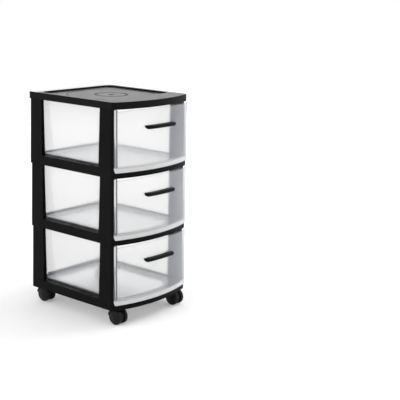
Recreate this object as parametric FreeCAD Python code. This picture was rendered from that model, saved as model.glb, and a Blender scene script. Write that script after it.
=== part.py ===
import FreeCAD, Part
import os
from math import sqrt

V = FreeCAD.Vector
os.makedirs("parts", exist_ok=True)

# A rolling tower of three drawers, in millimetres. Up is +Z, the front is -Y, the floor is at zero,
# and the origin lies under the middle of the whole outline, handles included.

# Plan of the tower: straight sides and back, a front bowed as one arc, rounded corners.
tower_width = 308.0
side_depth = 349.5
front_bow = 29.3
front_corner_round = 11.0
rear_corner_round = 11.0

# Heights of the tower. The tiers are equal.
tier_count = 3
tier_pitch = 192.0
ring_height = 27.0
lid_height = 20.0

# Shared fits, how near an edge must lie to count as found, and the one overrun that all cuts use.
running_clearance = 0.05
seat_clearance = 0.2
edge_match = 0.2
overrun = 2.0
full_turn = 360.0

# Ring of a tier frame: a channel that is open below, with a ledge on top that the drawer runs on.
ring_wall = 2.5
ledge_plate = 2.5
side_ledge = 36.0
rear_ledge = 26.0
front_ledge = 26.0
opening_round = 25.0
inner_skirt = 14.0

# Posts of a tier frame: hollow, drafted, flush with the ring at the foot and smaller at the head.
post_inner_face = 13.0
post_foot_inset = 0.4
post_foot_length = 56.0
post_head_length = 49.5
post_head_side_draw = 3.5
post_head_end_draw = 3.7
post_wall = 2.2
post_cap = 2.5
post_foot_round = 10.0
post_head_round = 6.0
post_plug = 12.5
rib_thickness = 2.0
rib_gap = 0.8
bearing_rib_spacing = 22.0

# Lid: a tray between a lip at each side, a ledge at the back and a flat deck in front, with
# shallow round grooves in its floor.
lid_wall = 2.5
lid_plate = 2.5
tray_depth = 4.5
tray_side_lip = 13.0
tray_rear_ledge = 37.0
tray_front_deck = 55.0
tray_corner_round = 26.0
groove_depth = 0.6
centre_dot_radius = 6.0
small_groove_outer = 50.0
small_groove_inner = 43.0
large_groove_outer = 130.0
large_groove_inner = 127.0
lid_edge_round = 1.5

# Drawer: a drafted tub and a bowed front panel that hides the posts and the top of the front rail.
tub_half_low = 130.0
tub_half_high = 136.0
tub_rear_gap_low = 34.0
tub_rear_gap_high = 27.0
tub_round_low = 14.0
tub_round_high = 18.0
tub_wall = 2.0
tub_floor = 2.4
tub_head_gap = 1.5
flare_start = 12.0
flare_half = 146.0
panel_half = 152.5
panel_proud = 3.5
panel_thickness = 2.5
panel_inner_round = 2.0
panel_post_gap = 0.5
panel_skirt = 11.0
panel_corner_slant = 5.0
panel_corner_rise = 12.0
panel_top_gap_middle = 2.5
panel_top_gap_end = 6.5
panel_ear_width = 8.0
panel_ear_run = 3.0

# Handle: a curved bar with round ends on two thin legs that taper up towards the panel, with a
# back plate on the panel and two snap pegs through it.
handle_half = 57.5
handle_height = 10.5
handle_bar = 6.0
handle_gap = 9.0
handle_level = 138.7
handle_end_round = 5.0
handle_leg = 4.0
handle_leg_rise = 6.5
handle_plate = 2.0
handle_plate_half = 45.0
handle_plate_height = 9.0
handle_edge_round = 2.2
peg_across = 40.5
peg_radius = 3.0
peg_hole_clearance = 0.1
peg_head_radius = 4.2
peg_head = 1.6
peg_head_gap = 0.8

# Casters: twin wheels with domed faces on a hood that is open above them, on a steel stem that
# turns in a plastic sleeve. The wheels stand a little above the hood's flat top.
stem_side_inset = 32.5
stem_end_inset = 20.8
caster_trail = 12.0
wheel_radius = 23.0
wheel_tread = 11.0
wheel_dome = 3.0
wheel_edge_round = 2.5
wheel_dome_radius = 18.5
wheel_rim_step = 0.7
wheel_cap = 2.5
hood_core = 12.0
hood_core_side_gap = 0.4
hood_core_radius = 18.0
hood_gap = 0.6
hood_shell = 1.4
hood_boss_radius = 5.6
hood_shell_floor = 25.0
hood_front_reach = 7.0
hood_top_drop = 0.5
stem_radius = 3.5
stem_length_in_hood = 14.0
collar_radius = 5.6
collar_height = 1.0
sleeve_wall = 1.6
sleeve_flange = 1.6
sleeve_flange_radius = 8.0
boss_wall = 2.4
boss_top_plate = 2.0
stem_end_gap = 1.0
neck_radius = 2.8
neck_length = 2.5
neck_below_tip = 3.0
axle_radius = 2.0
axle_end_gap = 0.5

# Places that follow from the sizes above.
half_width = tower_width / 2
handle_reach = panel_proud + handle_gap + handle_bar
rear_y = (side_depth + front_bow + handle_reach) / 2
corner_y = rear_y - side_depth
apex_y = corner_y - front_bow
plan_middle_y = (rear_y + corner_y) / 2
bow_radius = (half_width ** 2 + front_bow ** 2) / (2 * front_bow)
bow_centre_y = apex_y + bow_radius
hood_radius = wheel_radius + hood_gap + hood_shell
hood_top = 2 * wheel_radius - hood_top_drop
caster_height = hood_top + collar_height
tower_height = caster_height + tier_count * tier_pitch + lid_height
stem_x = half_width - stem_side_inset
stem_y = side_depth / 2 - stem_end_inset


def block(x_low, x_high, y_low, y_high, z_low, z_high):
    """A box between two corners."""
    return Part.makeBox(x_high - x_low, y_high - y_low, z_high - z_low, V(x_low, y_low, z_low))


def rod(radius, start, end):
    """A round bar from one point to another."""
    return Part.makeCylinder(radius, (end - start).Length, start, end - start)


def bow_y(x, out):
    """Where the front arc lies at x, on the arc moved outwards by out."""
    return bow_centre_y - sqrt((bow_radius + out) ** 2 - x ** 2)


def upright_edges(shape, x_side, y_level):
    """The upright edges at plus and minus one x and at one y."""
    found = []
    for edge in shape.Edges:
        first, last = edge.Vertexes[0].Point, edge.Vertexes[-1].Point
        upright = V(first.x - last.x, first.y - last.y, 0).Length < edge_match
        placed = abs(abs(first.x) - x_side) < edge_match and abs(first.y - y_level) < edge_match
        if upright and placed:
            found.append(edge)
    return found


def plan_block(side_in, rear_in, front_in, low, high, rear_round, front_round):
    """The tower's plan between two levels, moved in by one amount at the sides, back and front."""
    half = half_width - side_in
    back = rear_y - rear_in
    front = bow_y(half, -front_in)
    middle = V(0, bow_y(0, -front_in), low)
    corners = [V(half, front, low), V(half, back, low), V(-half, back, low), V(-half, front, low)]
    edges = [Part.Arc(corners[3], middle, corners[0]).toShape()]
    for start, end in zip(corners[:-1], corners[1:]):
        edges.append(Part.makeLine(start, end))
    solid = Part.Face(Part.Wire(edges)).extrude(V(0, 0, high - low))
    rear_edges = upright_edges(solid, half, back)
    solid = solid.makeFillet(rear_round, rear_edges)
    front_edges = upright_edges(solid, half, front)
    return solid.makeFillet(front_round, front_edges)


def inset_plan(inset, low, high):
    """The tower's plan moved in evenly, as a wall's inner side is."""
    return plan_block(inset, inset, inset, low, high, rear_corner_round - inset, front_corner_round - inset)


def mirrored_four(shape):
    """One corner's shape, repeated at the four corners of the plan."""
    middle = V(0, plan_middle_y, 0)
    pair = [shape, shape.mirror(middle, V(1, 0, 0))]
    return pair + [one.mirror(middle, V(0, 1, 0)) for one in pair]


def post_block(inset, low, high, drafted_low, drafted_high):
    """The rear right post's outline as a drafted block, moved in by a wall, between two levels."""
    wires = []
    for level in (low, high):
        share = (level - drafted_low) / (drafted_high - drafted_low)
        outer_x = half_width - post_foot_inset - share * post_head_side_draw - inset
        inner_x = half_width - post_inner_face + inset
        outer_y = rear_y - post_foot_inset - share * post_head_end_draw - inset
        length = post_foot_length + share * (post_head_length - post_foot_length) - 2 * inset
        inner_y = outer_y - length
        radius = post_foot_round + share * (post_head_round - post_foot_round) - inset
        bend = radius * (1 - sqrt(2) / 2)
        points = [V(inner_x, inner_y, level), V(outer_x, inner_y, level)]
        points.append(V(outer_x, outer_y - radius, level))
        arc_middle = V(outer_x - bend, outer_y - bend, level)
        arc_end = V(outer_x - radius, outer_y, level)
        last = V(inner_x, outer_y, level)
        edges = [Part.makeLine(points[0], points[1]), Part.makeLine(points[1], points[2])]
        edges.append(Part.Arc(points[2], arc_middle, arc_end).toShape())
        edges.append(Part.makeLine(arc_end, last))
        edges.append(Part.makeLine(last, points[0]))
        wires.append(Part.Wire(edges))
    return Part.makeLoft(wires, True, True)


def make_post():
    """One hollow post, closed at its head and open at its foot, on the lowest frame."""
    foot = caster_height + ring_height - ledge_plate
    head = caster_height + tier_pitch + post_plug
    ring_top = caster_height + ring_height
    outer = post_block(0, foot, head, ring_top, head)
    inner = post_block(post_wall, foot - overrun, head - post_cap, ring_top, head)
    return outer, inner


def rear_right_ribs(base):
    """Ribs in the ring's channel: two hold a post's head in place and two rest on it."""
    top = base + ring_height - ledge_plate
    outer_y = rear_y - post_foot_inset - post_head_end_draw
    inner_y = outer_y - post_head_length
    low_x, high_x = half_width - side_ledge, half_width - ring_wall / 2
    locate_y = inner_y - rib_gap
    locating = block(low_x, high_x, locate_y - rib_thickness, locate_y, base + overrun, top)
    ribs = [locating]
    middle_y = (outer_y + inner_y) / 2
    for side in (-1, 1):
        low_y = middle_y + side * bearing_rib_spacing / 2 - rib_thickness / 2
        ribs.append(block(low_x, high_x, low_y, low_y + rib_thickness, base + post_plug, top))
    return ribs


def make_frame():
    """The lowest tier frame: ring, ribs, stem bosses and four posts in one moulding."""
    base = caster_height
    top = base + ring_height
    ring = inset_plan(0, base, top)
    ring = ring.cut(inset_plan(ring_wall, base - overrun, top - ledge_plate))
    opening = plan_block(
        side_ledge, rear_ledge, front_ledge, base - overrun, top + overrun, opening_round, opening_round,
    )
    skirt_round = opening_round + ring_wall
    skirt = plan_block(
        side_ledge - ring_wall, rear_ledge - ring_wall, front_ledge - ring_wall,
        top - inner_skirt, top - ledge_plate / 2, skirt_round, skirt_round,
    )
    ribs = []
    for rib in rear_right_ribs(base):
        ribs.extend(mirrored_four(rib))
    boss_radius = stem_radius + running_clearance + sleeve_wall + boss_wall
    for x, y in caster_places():
        foot = V(x, y, base + sleeve_flange)
        ribs.append(rod(boss_radius, foot, V(x, y, top - ledge_plate / 2)))
    outer, inner = make_post()
    ring = ring.fuse([skirt] + ribs)
    ring = ring.cut([opening] + [boss_bore(x, y) for x, y in caster_places()])
    posts = mirrored_four(outer)
    hollows = mirrored_four(inner)
    frame = ring.fuse(posts).cut(hollows)
    return frame.removeSplitter()


def caster_places():
    """Where the four stems stand: front left, front right, rear left, rear right."""
    places = []
    for side_y in (-1, 1):
        for side_x in (-1, 1):
            places.append((side_x * stem_x, plan_middle_y + side_y * stem_y))
    return places


def stem_tip():
    """The level of a stem's upper end."""
    return caster_height + ring_height - ledge_plate - boss_top_plate - stem_end_gap


def boss_bore(x, y):
    """The blind hole in a boss that takes a caster's sleeve."""
    radius = stem_radius + running_clearance + sleeve_wall
    return rod(radius, V(x, y, caster_height - overrun), V(x, y, stem_tip() + stem_end_gap))


def tray_block(wall, low, high):
    """The lid's tray as a block, moved out by a wall, between two levels."""
    side = half_width - tray_side_lip + wall
    front = corner_y + tray_front_deck - wall
    tray = block(-side, side, front, rear_y - tray_rear_ledge + wall, low, high)
    upright = [edge for edge in tray.Edges if edge.BoundBox.ZLength > (high - low) / 2]
    return tray.makeFillet(tray_corner_round + wall, upright)


def round_groove(radius_outer, radius_inner, level):
    """A shallow ring cut into the tray's floor, centred on the lid."""
    middle = V(0, (rear_y + apex_y) / 2, level - groove_depth)
    axis = V(0, 0, 1)
    groove = Part.makeCylinder(radius_outer, tray_depth, middle, axis)
    if radius_inner:
        groove = groove.cut(Part.makeCylinder(radius_inner, tray_depth, middle, axis))
    return groove.common(tray_block(0, level - groove_depth, tower_height))


def make_lid():
    """The lid: skirt, lip, ledge, deck and tray with its grooves, in one even wall, hollow below."""
    base = tower_height - lid_height
    tray_floor = tower_height - tray_depth
    lid = inset_plan(0, base, tower_height)
    top_edges = [edge for edge in lid.Edges if edge.BoundBox.ZMin > tower_height - edge_match]
    lid = lid.makeFillet(lid_edge_round, top_edges)
    hollow = inset_plan(lid_wall, base - overrun, tower_height - lid_plate)
    lid = lid.cut(hollow.cut(tray_block(lid_wall, tray_floor - lid_plate, tower_height)))
    ribs = []
    for rib in rear_right_ribs(base):
        held = rib.common(inset_plan(lid_wall / 2, base, tower_height - lid_plate / 2))
        ribs.extend(mirrored_four(held))
    grooves = [
        round_groove(centre_dot_radius, 0, tray_floor),
        round_groove(small_groove_outer, small_groove_inner, tray_floor),
        round_groove(large_groove_outer, large_groove_inner, tray_floor),
    ]
    return lid.fuse(ribs).cut([tray_block(0, tray_floor, tower_height + overrun)] + grooves).removeSplitter()


def tub_wire(share, inset, front_out, level):
    """The tub's plan at one height: share is 0 at the floor and 1 at the rim."""
    half = tub_half_low + share * (tub_half_high - tub_half_low) - inset
    back = rear_y - tub_rear_gap_low + share * (tub_rear_gap_low - tub_rear_gap_high) - inset
    radius = tub_round_low + share * (tub_round_high - tub_round_low) - inset
    bend = radius * (1 - sqrt(2) / 2)
    wide = flare_half - inset
    start_y = corner_y + flare_start
    end_y = bow_y(wide, front_out)
    edges = []
    for side in (1, -1):
        curve = Part.BSplineCurve()
        ends = [V(side * half, start_y, level), V(side * wide, end_y, level)]
        curve.interpolate(Points=ends, InitialTangent=V(0, -1, 0), FinalTangent=V(side, -1, 0))
        flare = curve.toShape()
        wall = Part.makeLine(V(side * half, back - radius, level), ends[0])
        corner = Part.Arc(
            V(side * (half - radius), back, level),
            V(side * (half - bend), back - bend, level),
            V(side * half, back - radius, level),
        ).toShape()
        edges.append([corner, wall, flare])
    rear = Part.makeLine(V(half - radius, back, level), V(radius - half, back, level))
    front = Part.Arc(
        V(wide, end_y, level), V(0, bow_y(0, front_out), level), V(-wide, end_y, level)
    ).toShape()
    return Part.Wire(Part.__sortEdges__([rear] + edges[0] + [front] + edges[1]))


def tub_solid(inset, front_out, low, high, floor, rim):
    """A drafted block of the tub's plan between two levels."""
    wires = [tub_wire((level - floor) / (rim - floor), inset, front_out, level) for level in (low, high)]
    return Part.makeLoft(wires, True, True)


def panel_outline(low, rim, roof):
    """The front panel's outline seen from the front, as a plate deeper than the panel."""
    arch_end = roof - panel_top_gap_end
    arch_middle = roof - panel_top_gap_middle
    ear_foot = panel_half - panel_ear_width - panel_ear_run
    ear_edge = panel_half - panel_ear_width
    y = apex_y - panel_proud - overrun
    left = [
        V(-ear_foot, y, arch_end), V(-ear_edge, y, rim), V(-panel_half, y, rim),
        V(-panel_half, y, low + panel_corner_rise), V(-panel_half + panel_corner_slant, y, low),
    ]
    right = [V(-point.x, point.y, point.z) for point in reversed(left)]
    points = left + right
    edges = [Part.makeLine(start, end) for start, end in zip(points[:-1], points[1:])]
    edges.append(Part.Arc(points[-1], V(0, y, arch_middle), points[0]).toShape())
    reach = front_bow + panel_proud + flare_start + overrun
    return Part.Face(Part.Wire(edges)).extrude(V(0, reach, 0))


def make_panel(low, rim, roof):
    """The bowed front panel with its ears and slanted lower corners."""
    side_in = half_width - panel_half
    slab = plan_block(side_in, 0, -panel_proud, low, rim, rear_corner_round, front_corner_round)
    back_out = panel_proud - panel_thickness
    inner = plan_block(
        -overrun, 0, -back_out, low - overrun, rim + overrun, rear_corner_round, panel_inner_round,
    )
    behind = block(
        -tower_width, tower_width, corner_y - panel_post_gap, rear_y + overrun, low - overrun, rim + overrun,
    )
    return slab.cut([inner, behind]).common(panel_outline(low, rim, roof))


def make_drawer(tier):
    """One drawer: tub and front panel in one moulding, with the peg holes."""
    base = caster_height + tier * tier_pitch
    floor = base + ring_height + seat_clearance
    roof = base + tier_pitch
    rim = roof - tub_head_gap
    low = base + ring_height - panel_skirt
    mid_out = panel_proud - panel_thickness / 2
    tub = tub_solid(0, mid_out, floor, rim, floor, rim)
    hollow = tub_solid(tub_wall, panel_proud, floor + tub_floor, rim + overrun, floor, rim)
    drawer = tub.cut(hollow).fuse(make_panel(low, rim, roof))
    level = base + handle_level
    for x in (-peg_across, peg_across):
        front = V(x, bow_y(x, panel_proud) - overrun, level)
        back = V(x, bow_y(x, 0) + overrun, level)
        drawer = drawer.cut(rod(peg_radius + peg_hole_clearance, front, back))
    return drawer.removeSplitter()


def bow_band(out_low, out_high, half, low, high):
    """A band between two arcs that follow the front, with square ends."""
    edges = []
    for out in (out_low, out_high):
        ends = V(-half, bow_y(half, out), low), V(half, bow_y(half, out), low)
        edges.append(Part.Arc(ends[0], V(0, bow_y(0, out), low), ends[1]).toShape())
    for side in (-1, 1):
        start = V(side * half, bow_y(half, out_low), low)
        edges.append(Part.makeLine(start, V(side * half, bow_y(half, out_high), low)))
    wire = Part.Wire(Part.__sortEdges__(edges))
    return Part.Face(wire).extrude(V(0, 0, high - low))


def make_handle(tier):
    """One handle: back plate, two tapered legs, the bar and its snap pegs."""
    level = caster_height + tier * tier_pitch + handle_level
    low, high = level - handle_height / 2, level + handle_height / 2
    bar_in = panel_proud + handle_gap
    bar_out = bar_in + handle_bar
    body = bow_band(panel_proud, bar_out, handle_half, low, high)
    end_edges = []
    for edge in body.Edges:
        box = edge.BoundBox
        if box.XLength < edge_match and box.ZLength < edge_match:
            end_edges.append(edge)
    body = body.makeFillet(handle_end_round, end_edges)
    front_edges = [edge for edge in body.Edges if edge.BoundBox.YMax < bow_y(handle_half, bar_in)]
    body = body.makeFillet(handle_edge_round, front_edges)
    gap = bow_band(panel_proud - overrun, bar_in, handle_half - handle_leg, low - overrun, high + overrun)
    bar_y, panel_y = bow_y(handle_half, bar_in), bow_y(handle_half, panel_proud)
    rise = handle_leg_rise * (panel_y + overrun - bar_y) / (panel_y - bar_y)
    under = [
        V(-handle_half, bar_y, low), V(-handle_half, panel_y + overrun, low + rise),
        V(-handle_half, panel_y + overrun, low - overrun), V(-handle_half, bar_y, low - overrun),
    ]
    taper = Part.Face(Part.makePolygon(under + under[:1])).extrude(V(2 * handle_half, 0, 0))
    plate_low, plate_high = level - handle_plate_height / 2, level + handle_plate_height / 2
    plate = bow_band(panel_proud, panel_proud + handle_plate, handle_plate_half, plate_low, plate_high)
    handle = body.cut([gap, taper]).fuse(plate)
    for x in (-peg_across, peg_across):
        root = V(x, bow_y(x, bar_in + handle_bar / 2), level)
        back_out = panel_proud - panel_thickness
        head = V(x, bow_y(x, back_out) + peg_head_gap, level)
        tip = head + V(0, peg_head, 0)
        handle = handle.fuse([rod(peg_radius, root, tip), rod(peg_head_radius, head, tip)])
    return handle.removeSplitter()


def make_wheel(side):
    """One wheel of a caster, with a domed face and a blind bore; side is -1 or 1."""
    inner = hood_core / 2 + hood_core_side_gap
    rim = inner + wheel_tread
    low = axle_radius + running_clearance
    centre = V(0, -caster_trail, wheel_radius)
    face = rim + wheel_dome
    profile = [
        (face, 0), (face - wheel_cap, 0), (face - wheel_cap, low), (inner, low),
        (inner, wheel_radius - wheel_edge_round / 2), (inner + wheel_edge_round / 2, wheel_radius),
        (rim - wheel_edge_round, wheel_radius), (rim, wheel_radius - wheel_edge_round),
        (rim, wheel_dome_radius + wheel_rim_step), (rim - wheel_rim_step, wheel_dome_radius),
    ]
    points = [V(side * across, centre.y, centre.z + radius) for across, radius in profile]
    edges = [Part.makeLine(start, end) for start, end in zip(points[:-1], points[1:])]
    rise = wheel_dome + wheel_rim_step
    curve = (wheel_dome_radius ** 2 + rise ** 2) / (2 * rise)
    bend = wheel_dome_radius / 2
    crown = face - curve + sqrt(curve ** 2 - bend ** 2)
    edges.append(Part.Arc(points[-1], V(side * crown, centre.y, centre.z + bend), points[0]).toShape())
    outline = Part.Face(Part.Wire(edges))
    return outline.revolve(centre, V(1, 0, 0), full_turn)


def axle_half():
    """How far the axle reaches from the caster's middle into each wheel's blind bore."""
    return hood_core / 2 + hood_core_side_gap + wheel_tread + wheel_dome - wheel_cap - axle_end_gap


def make_axle():
    """The steel axle through the hood's core."""
    half = axle_half()
    return rod(axle_radius, V(-half, -caster_trail, wheel_radius), V(half, -caster_trail, wheel_radius))


def make_hood():
    """The hood: a core between the wheels, a boss for the stem and a shell over the wheels."""
    centre = V(0, -caster_trail, wheel_radius)
    half = hood_core / 2
    core = rod(hood_core_radius, centre - V(half, 0, 0), centre + V(half, 0, 0))
    wide = half + hood_core_side_gap + wheel_tread
    inner_radius = wheel_radius + hood_gap
    shell = rod(hood_radius, centre - V(wide, 0, 0), centre + V(wide, 0, 0))
    shell = shell.cut(rod(inner_radius, centre - V(wide + overrun, 0, 0), centre + V(wide + overrun, 0, 0)))
    front = -caster_trail - hood_front_reach
    back = hood_radius - caster_trail + overrun
    shell = shell.common(block(-wide, wide, front, back, hood_shell_floor, hood_top))
    web = rod(inner_radius + hood_shell / 2, centre - V(half, 0, 0), centre + V(half, 0, 0))
    web = web.common(block(-half, half, front, back, hood_shell_floor, hood_top))
    boss = rod(hood_boss_radius, V(0, 0, hood_top - stem_length_in_hood), V(0, 0, hood_top))
    hood = core.fuse(web).fuse(shell).fuse(boss)
    stem_hole = rod(stem_radius, V(0, 0, hood_top - stem_length_in_hood), V(0, 0, hood_top + overrun))
    axle_hole = rod(axle_radius, centre - V(wide, 0, 0), centre + V(wide, 0, 0))
    return hood.cut(stem_hole).cut(axle_hole)


def make_stem():
    """The steel stem with its collar and the neck near its tip."""
    tip = stem_tip()
    stem = rod(stem_radius, V(0, 0, hood_top - stem_length_in_hood), V(0, 0, tip))
    collar = rod(collar_radius, V(0, 0, hood_top), V(0, 0, caster_height))
    neck_top = tip - neck_below_tip
    ring = rod(stem_radius + overrun, V(0, 0, neck_top - neck_length), V(0, 0, neck_top))
    ring = ring.cut(rod(neck_radius, V(0, 0, neck_top - neck_length), V(0, 0, neck_top)))
    return stem.fuse(collar).cut(ring)


def make_sleeve():
    """The plastic sleeve that the stem turns in, with the flange that the collar carries."""
    bore = stem_radius + running_clearance
    body = rod(bore + sleeve_wall, V(0, 0, caster_height), V(0, 0, stem_tip()))
    flange = rod(sleeve_flange_radius, V(0, 0, caster_height), V(0, 0, caster_height + sleeve_flange))
    hole = rod(bore, V(0, 0, caster_height - overrun), V(0, 0, stem_tip() + overrun))
    return body.fuse(flange).cut(hole)


def export(shape, name):
    """Writes one node."""
    shape.exportStep("parts/" + name + ".step")


tier_names = ["low", "middle", "top"]
corner_names = ["front_left", "front_right", "rear_left", "rear_right"]

export(make_lid(), "lid")
frame = make_frame()
for tier, name in enumerate(tier_names):
    export(frame.translated(V(0, 0, tier * tier_pitch)), "tier_frame_" + name)
    export(make_drawer(tier), "drawer_" + name)
    export(make_handle(tier), "handle_" + name)

caster = {
    "sleeve": make_sleeve(),
    "stem": make_stem(),
    "hood": make_hood(),
    "axle": make_axle(),
    "wheel_left": make_wheel(-1),
    "wheel_right": make_wheel(1),
}
for (x, y), corner in zip(caster_places(), corner_names):
    for piece, shape in caster.items():
        export(shape.translated(V(x, y, 0)), "caster_" + corner + "_" + piece)
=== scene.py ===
import math

import bpy
from mathutils import Matrix, Vector

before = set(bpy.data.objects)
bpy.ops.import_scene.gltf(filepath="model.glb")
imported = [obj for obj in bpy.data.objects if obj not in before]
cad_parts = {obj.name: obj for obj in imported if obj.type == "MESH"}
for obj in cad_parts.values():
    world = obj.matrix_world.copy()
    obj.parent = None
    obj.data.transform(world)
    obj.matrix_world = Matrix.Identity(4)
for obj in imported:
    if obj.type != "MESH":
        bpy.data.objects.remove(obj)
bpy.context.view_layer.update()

# Studio. The tower stands free on a pale seamless sweep under large soft lamps. The camera is a
# long lens a little above the lid, turned to show the left side and the bowed front.

camera_place = (-2.04244, -2.04188, 0.98925)
camera_azimuth = math.radians(50.1556)
camera_fall = math.radians(12.9465)
camera_roll = math.radians(1.2003)
camera_lens = 88.816
sensor_width = 36
camera_far = 60

camera_data = bpy.data.cameras.new("camera")
camera_data.lens = camera_lens
camera_data.sensor_width = sensor_width
camera_data.clip_end = camera_far
camera = bpy.data.objects.new("camera", camera_data)
camera.matrix_world = (
    Matrix.Translation(camera_place)
    @ Matrix.Rotation(-camera_azimuth, 4, "Z")
    @ Matrix.Rotation(math.pi / 2 - camera_fall, 4, "X")
    @ Matrix.Rotation(camera_roll, 4, "Z")
)
bpy.context.scene.collection.objects.link(camera)
bpy.context.scene.camera = camera
bpy.context.scene.view_settings.view_transform = "Standard"


def softbox(name, place, aim, size, watts):
    """A square area lamp at place, facing the point aim."""
    data = bpy.data.lights.new(name, "AREA")
    data.shape = "SQUARE"
    data.size = size
    data.energy = watts
    lamp = bpy.data.objects.new(name, data)
    lamp.location = place
    lamp.rotation_euler = (Vector(aim) - Vector(place)).to_track_quat("-Z", "Y").to_euler()
    bpy.context.scene.collection.objects.link(lamp)


middle = (0, 0, 0.32)
softbox("key_lamp", (2.1, -0.7, 2.3), middle, size=1.8, watts=32)
softbox("window_lamp", (-2.6, 0.8, 1.5), middle, size=1.8, watts=25)
softbox("front_lamp", (1.2, -2.9, 1.3), middle, size=1.6, watts=12)
softbox("back_lamp", (2.3, 3.1, 1.6), middle, size=2.4, watts=11)


def reckon(nodes, links, operation, first, second):
    """A maths node over two inputs, each a number or another node's output."""
    node = nodes.new("ShaderNodeMath")
    node.operation = operation
    for socket, value in zip(node.inputs, (first, second)):
        if isinstance(value, (int, float)):
            socket.default_value = value
        else:
            links.new(value, socket)
    return node.outputs[0]


def spread(nodes, links, factor, start, stop, low, high):
    """Maps a factor's run from start to stop onto low to high."""
    span = nodes.new("ShaderNodeMapRange")
    for name, value in (("From Min", start), ("From Max", stop), ("To Min", low), ("To Max", high)):
        span.inputs[name].default_value = value
    links.new(factor, span.inputs["Value"])
    return span.outputs["Result"]


def seen_share(nodes, links):
    """1 for rays that show a background to the eye, straight, in gloss or through plastic."""
    path = nodes.new("ShaderNodeLightPath").outputs
    gloss = reckon(nodes, links, "MAXIMUM", path["Is Camera Ray"], path["Is Glossy Ray"])
    return reckon(nodes, links, "MAXIMUM", gloss, path["Is Transmission Ray"])


def new_finish(name, roughness, specular):
    """A material with a Principled shader."""
    finish = bpy.data.materials.new(name)
    finish.use_nodes = True
    shader = finish.node_tree.nodes["Principled BSDF"]
    shader.inputs["Roughness"].default_value = roughness
    shader.inputs["Specular IOR Level"].default_value = specular
    return finish


def inside(finish):
    """The nodes, the links and the Principled shader of a material."""
    nodes = finish.node_tree.nodes
    return nodes, finish.node_tree.links, nodes["Principled BSDF"]


def own_place(nodes):
    """The shaded point in the piece's own coordinates."""
    return nodes.new("ShaderNodeTexCoord").outputs["Object"]


world_light = 0.8
seen_light = 1
world = bpy.data.worlds.new("studio_air")
world.use_nodes = True
bpy.context.scene.world = world
air = world.node_tree.nodes
air_links = world.node_tree.links
air_strength = spread(air, air_links, seen_share(air, air_links), 0, 1, world_light, seen_light)
air["Background"].inputs["Color"].default_value = (1, 1, 1, 1)
air_links.new(air_strength, air["Background"].inputs["Strength"])

floor_half = 14
floor_grey = 0.86
floor_roughness = 0.9
floor_specular = 0.1
near_lift = 0.19
far_lift = 0.36
lift_start = 0.9
lift_stop = 3.5
floor_mesh = bpy.data.meshes.new("floor")
floor_signs = ((-1, -1), (1, -1), (1, 1), (-1, 1))
floor_corners = [(x * floor_half, y * floor_half, 0) for x, y in floor_signs]
floor_mesh.from_pydata(floor_corners, [], [(0, 1, 2, 3)])
floor = bpy.data.objects.new("floor", floor_mesh)
bpy.context.scene.collection.objects.link(floor)
floor_paper = new_finish("floor_paper", floor_roughness, floor_specular)
nodes, links, shader = inside(floor_paper)
shader.inputs["Base Color"].default_value = (floor_grey, floor_grey, floor_grey, 1)
shader.inputs["Emission Color"].default_value = (1, 1, 1, 1)
# Painted glow: to the eye the floor glows on top of its lamp light, weaker within reach of the
# tower and stronger far off, so the floor is painted darker around the tower and its shadow keeps
# its depth.
from_tower = nodes.new("ShaderNodeVectorMath")
from_tower.operation = "LENGTH"
links.new(own_place(nodes), from_tower.inputs[0])
lift = spread(
    nodes, links, from_tower.outputs["Value"], lift_start, lift_stop, near_lift, far_lift,
)
seen_lift = reckon(nodes, links, "MULTIPLY", seen_share(nodes, links), lift)
links.new(seen_lift, shader.inputs["Emission Strength"])
floor_mesh.materials.append(floor_paper)

# Tier frames. Three equal rings with four hollow posts each, injection moulded in black
# plastic. The posts of each ring plug into the ring or lid above.

noise_low = 0.3
noise_high = 0.7
grain_detail = 3
bevel_samples = 4
black_dark = (0.0036, 0.0036, 0.0040)
black_pale = (0.0056, 0.0054, 0.0054)
black_sheen_patches = 26
black_sheen_detail = 3
black_rough_low = 0.36
black_rough_high = 0.5


def noise(nodes, links, per_metre, detail):
    """Noise on the piece's own coordinates, with per_metre cells in a metre."""
    texture = nodes.new("ShaderNodeTexNoise")
    texture.inputs["Scale"].default_value = per_metre
    texture.inputs["Detail"].default_value = detail
    links.new(own_place(nodes), texture.inputs["Vector"])
    return texture.outputs["Fac"]


def between(nodes, links, factor, low, high):
    """Maps the middle of a noise onto low to high."""
    return spread(nodes, links, factor, noise_low, noise_high, low, high)


def mottle(nodes, links, shader, factor, dark, pale):
    """The base colour drifts from dark to pale with the factor."""
    mix = nodes.new("ShaderNodeMix")
    mix.data_type = "RGBA"
    mix.inputs["A"].default_value = (*dark, 1)
    mix.inputs["B"].default_value = (*pale, 1)
    links.new(factor, mix.inputs["Factor"])
    links.new(mix.outputs["Result"], shader.inputs["Base Color"])


def grain(nodes, links, shader, per_metre, height, edge_round):
    """Mould grain of the given height, on edges softened over edge_round, in metres."""
    soft = nodes.new("ShaderNodeBevel")
    soft.samples = bevel_samples
    soft.inputs["Radius"].default_value = edge_round
    bump = nodes.new("ShaderNodeBump")
    bump.inputs["Strength"].default_value = 1
    bump.inputs["Distance"].default_value = height
    links.new(noise(nodes, links, per_metre, grain_detail), bump.inputs["Height"])
    links.new(soft.outputs["Normal"], bump.inputs["Normal"])
    links.new(bump.outputs["Normal"], shader.inputs["Normal"])


def moulded(name, roughness, specular, patches, detail, dark, pale, grains, height, edge_round):
    """A finish with patches and grains per metre: drifting colour, grain and soft edges."""
    finish = new_finish(name, roughness, specular)
    nodes, links, shader = inside(finish)
    drift = between(nodes, links, noise(nodes, links, patches, detail), 0, 1)
    mottle(nodes, links, shader, drift, dark, pale)
    grain(nodes, links, shader, grains, height, edge_round)
    return finish


def dress(name, finish):
    """Gives a CAD node its finish."""
    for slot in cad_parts[name].material_slots:
        slot.link = "OBJECT"
        slot.material = finish


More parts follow.
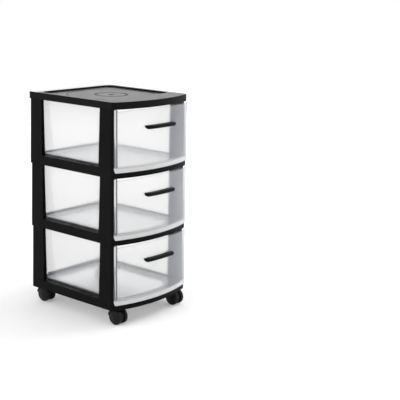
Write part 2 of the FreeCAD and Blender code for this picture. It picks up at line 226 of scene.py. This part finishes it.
black_plastic = moulded(
    "black_plastic", roughness=0.42, specular=0.04, patches=9, detail=2,
    dark=black_dark, pale=black_pale, grains=1500, height=0.00004, edge_round=0.0007,
)
nodes, links, shader = inside(black_plastic)
sheen_drift = noise(nodes, links, black_sheen_patches, black_sheen_detail)
black_rough = between(nodes, links, sheen_drift, black_rough_low, black_rough_high)
links.new(black_rough, shader.inputs["Roughness"])
tiers = ("low", "middle", "top")
for tier in tiers:
    dress("tier_frame_" + tier, black_plastic)

# Lid. A black moulding with a bowed front, a skirt over the top posts and a shallow tray,
# with a dot and two rings sunk in the tray's floor.

tray_floor = 0.638
lid_top = 0.6425
groove_floor = 0.6374
lid_centre = (0, 0.00925, groove_floor)
ledge_start = 0.1617
ledge_blend = 0.012
dot_radius = 0.007
dot_fade = 1.3
grooves_reach = 0.132
grooves_fade = 1.03
facing_start = 0.6
facing_stop = 0.95
tray_patches = 34
tray_detail = 5
tray_gloss_low = 0.14
tray_gloss_high = 0.26
groove_gloss = 0.45
dot_gloss = 0.1
lid_coat_ior = 1.5
lid_coat_roughness = 0.12
plain_roughness = 0.42
groove_roughness = 0.68
dot_roughness = 1


def split(nodes, links, vector):
    """The X, Y and Z of a vector."""
    parts = nodes.new("ShaderNodeSeparateXYZ")
    links.new(vector, parts.inputs[0])
    return parts.outputs


lid_plastic = moulded(
    "lid_plastic", roughness=plain_roughness, specular=0.06, patches=7, detail=2,
    dark=black_dark, pale=black_pale, grains=1500, height=0.00004, edge_round=0.0008,
)
nodes, links, shader = inside(lid_plastic)
shader.inputs["Coat IOR"].default_value = lid_coat_ior
shader.inputs["Coat Roughness"].default_value = lid_coat_roughness
facing = split(nodes, links, nodes.new("ShaderNodeNewGeometry").outputs["Normal"])
upward = spread(nodes, links, facing["Z"], facing_start, facing_stop, 0, 1)
place = own_place(nodes)
axes = split(nodes, links, place)
from_dot = nodes.new("ShaderNodeVectorMath")
from_dot.operation = "DISTANCE"
from_dot.inputs[1].default_value = lid_centre
links.new(place, from_dot.inputs[0])
dot_run = (from_dot.outputs["Value"], dot_radius, dot_radius * dot_fade)
groove_run = (axes["Z"], groove_floor, tray_floor)
reach_run = (from_dot.outputs["Value"], grooves_reach, grooves_reach * grooves_fade)

beyond_dot = spread(nodes, links, *dot_run, dot_gloss, 1)
in_groove = spread(nodes, links, *groove_run, groove_gloss, 1)
tray_drift = noise(nodes, links, tray_patches, tray_detail)
tray_gloss = between(nodes, links, tray_drift, tray_gloss_low, tray_gloss_high)
sunk_gloss = reckon(nodes, links, "MULTIPLY", beyond_dot, in_groove)
tray_gloss = reckon(nodes, links, "MULTIPLY", tray_gloss, sunk_gloss)
raised = spread(nodes, links, axes["Z"], tray_floor, lid_top, 0, 1)
behind = spread(
    nodes, links, axes["Y"], ledge_start - ledge_blend, ledge_start + ledge_blend, 0, 1,
)
ledge_gloss = reckon(nodes, links, "MULTIPLY", raised, behind)
top_gloss = reckon(nodes, links, "MAXIMUM", tray_gloss, ledge_gloss)
gloss = reckon(nodes, links, "MULTIPLY", upward, top_gloss)
links.new(gloss, shader.inputs["Coat Weight"])

dot_rough = spread(nodes, links, *dot_run, dot_roughness, plain_roughness)
groove_rough = spread(nodes, links, *groove_run, groove_roughness, plain_roughness)
sunk_rough = reckon(nodes, links, "MAXIMUM", dot_rough, groove_rough)
most_rough = spread(nodes, links, *reach_run, dot_roughness, plain_roughness)
lid_rough = reckon(nodes, links, "MINIMUM", sunk_rough, most_rough)
links.new(lid_rough, shader.inputs["Roughness"])
dress("lid", lid_plastic)

# Drawers. Tubs of frosted polypropylene with a bowed front wider than the tub, moulded in one.
# The skirt of the front, below the tub's floor, looks milkier than the walls.

tier_base = 0.0465
tier_pitch = 0.192
skirt_top = 0.027
skirt_fade = 0.007
bow_centre = 0.23921
panel_back = 0.42026
panel_blend = 0.0001
clear_share = 0.92
skirt_share = 0.45
drawer_ior = 1.42
sheen_weight = 0.13
sheen_roughness = 0.7
sheen_tint = (0.45, 0.6, 1)

drawer_plastic = moulded(
    "drawer_plastic", roughness=0.1, specular=0.45, patches=11, detail=3,
    dark=(0.965, 0.963, 0.95), pale=(0.975, 0.972, 0.962),
    grains=900, height=0.00002, edge_round=0.0006,
)
nodes, links, shader = inside(drawer_plastic)
shader.inputs["IOR"].default_value = drawer_ior
shader.inputs["Sheen Weight"].default_value = sheen_weight
shader.inputs["Sheen Roughness"].default_value = sheen_roughness
shader.inputs["Sheen Tint"].default_value = (*sheen_tint, 1)
axes = split(nodes, links, own_place(nodes))
above = reckon(nodes, links, "SUBTRACT", axes["Z"], tier_base)
level = reckon(nodes, links, "FLOORED_MODULO", above, tier_pitch)
ahead = reckon(nodes, links, "SUBTRACT", axes["Y"], bow_centre)
ahead_squared = reckon(nodes, links, "MULTIPLY", ahead, ahead)
across_squared = reckon(nodes, links, "MULTIPLY", axes["X"], axes["X"])
reach_squared = reckon(nodes, links, "ADD", across_squared, ahead_squared)
reach = reckon(nodes, links, "POWER", reach_squared, 0.5)
off_panel = spread(nodes, links, reach, panel_back - panel_blend, panel_back, clear_share, 0)
on_panel = spread(
    nodes, links, level, skirt_top, skirt_top + skirt_fade, skirt_share, clear_share,
)
clear = reckon(nodes, links, "MAXIMUM", on_panel, off_panel)
links.new(clear, shader.inputs["Transmission Weight"])
for tier in tiers:
    dress("drawer_" + tier, drawer_plastic)

# Handles. Black bars that follow the front's bow, on two legs and a back plate, with pegs
# pushed through the drawer front.

handle_plastic = moulded(
    "handle_plastic", roughness=0.34, specular=0.06, patches=30, detail=2,
    dark=black_dark, pale=black_pale, grains=1800, height=0.00003, edge_round=0.0004,
)
for tier in tiers:
    dress("handle_" + tier, handle_plastic)

# Casters. Twin-wheel casters of half-gloss black plastic on steel stems and axles, each stem
# pushed into a pale sleeve in the lowest ring.

caster_plastic = moulded(
    "caster_plastic", roughness=0.4, specular=0.12, patches=60, detail=3,
    dark=(0.006, 0.006, 0.0064), pale=(0.009, 0.0088, 0.009),
    grains=1400, height=0.00003, edge_round=0.0005,
)
sleeve_plastic = moulded(
    "sleeve_plastic", roughness=0.5, specular=0.4, patches=80, detail=2,
    dark=(0.66, 0.66, 0.63), pale=(0.74, 0.74, 0.71),
    grains=1400, height=0.00003, edge_round=0.0003,
)
steel = moulded(
    "steel", roughness=0.3, specular=0.5, patches=300, detail=4,
    dark=(0.55, 0.55, 0.56), pale=(0.66, 0.66, 0.68),
    grains=2500, height=0.00002, edge_round=0.0002,
)
nodes, links, shader = inside(steel)
shader.inputs["Metallic"].default_value = 1

piece_finishes = (
    ("sleeve", sleeve_plastic),
    ("stem", steel),
    ("hood", caster_plastic),
    ("axle", steel),
    ("wheel_left", caster_plastic),
    ("wheel_right", caster_plastic),
)
for corner in ("front_left", "front_right", "rear_left", "rear_right"):
    for piece, finish in piece_finishes:
        dress("caster_" + corner + "_" + piece, finish)
